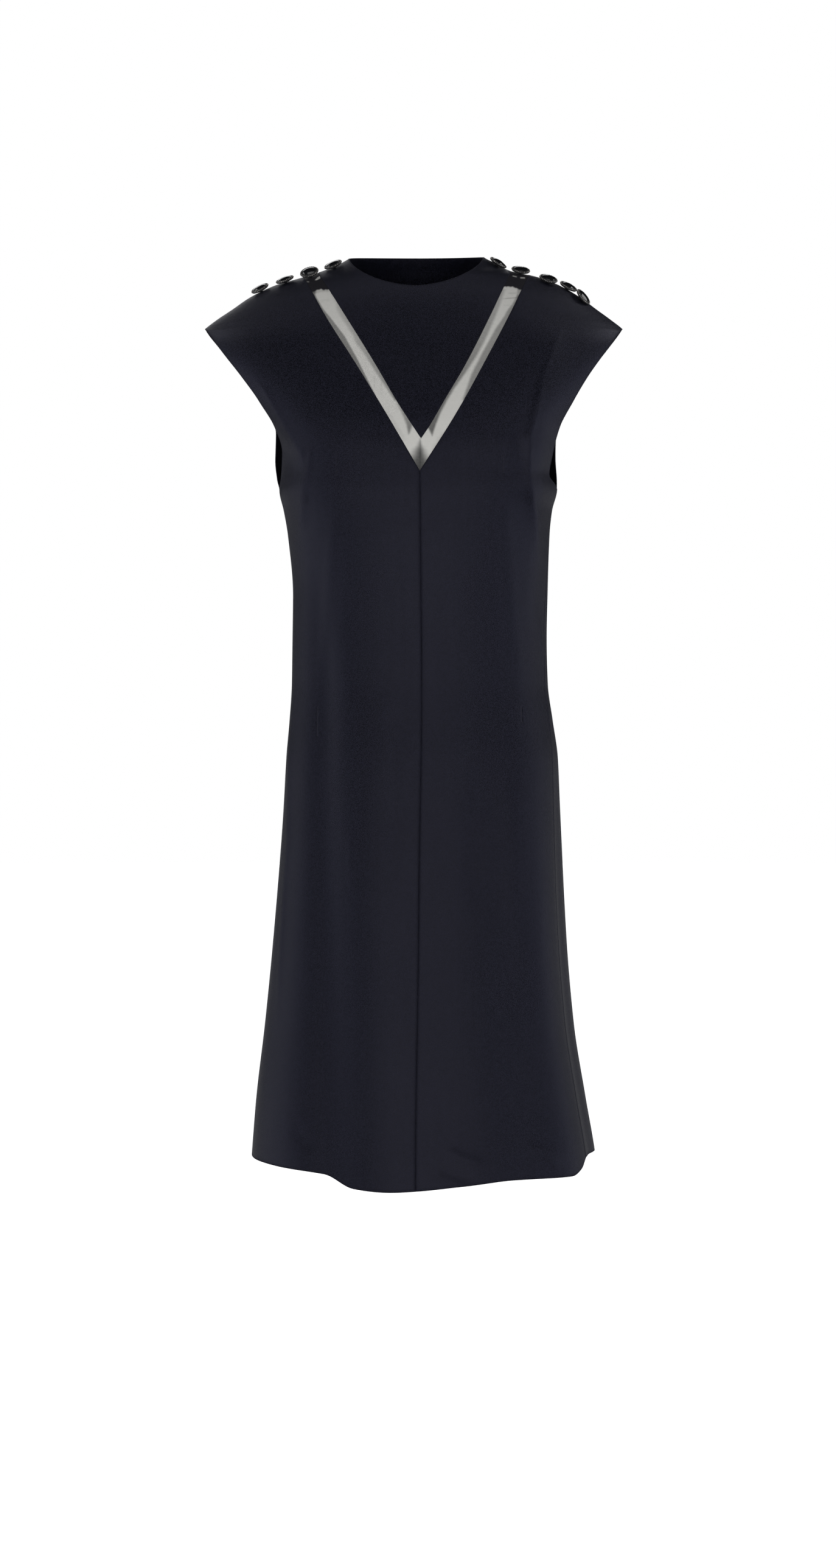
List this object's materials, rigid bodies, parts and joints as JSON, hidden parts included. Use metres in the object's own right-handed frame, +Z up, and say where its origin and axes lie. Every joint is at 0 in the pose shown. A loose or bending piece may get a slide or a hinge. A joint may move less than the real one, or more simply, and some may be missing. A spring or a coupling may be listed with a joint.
{
  "type": "sleeveless shift dress, held in its worn form",
  "caption": "Dark crepe shift dress with cap sleeves, a bib between two sheer bands that meet in a V, and buttoned shoulders.",
  "frame": {"origin": "midway between the two neck points, level with them, where the wearer's shoulders hold the dress", "axes": "+Z up, the front faces -Y, +X is the viewer's right when looking at the front"},
  "size_m": [0.48, 0.2797, 1.0668],
  "materials": {
    "crepe": "matte navy-black crepe with a fine pebbled grain",
    "organza": "sheer dark organza, grey where light shows through it",
    "black_glass": "opaque black pressed glass, glossy, with a cut rim"
  },
  "bodies": {
    "root": {"front_left": "crepe", "front_right": "crepe", "back": "crepe", "bib": "crepe", "sheer_band_left": "organza", "sheer_band_right": "organza", "button_stand_left": "crepe", "button_stand_right": "crepe", "button_left_1": "black_glass", "button_left_2": "black_glass", "button_left_3": "black_glass", "button_left_4": "black_glass", "button_right_1": "black_glass", "button_right_2": "black_glass", "button_right_3": "black_glass", "button_right_4": "black_glass", "button_right_5": "black_glass"}
  },
  "joints": []
}
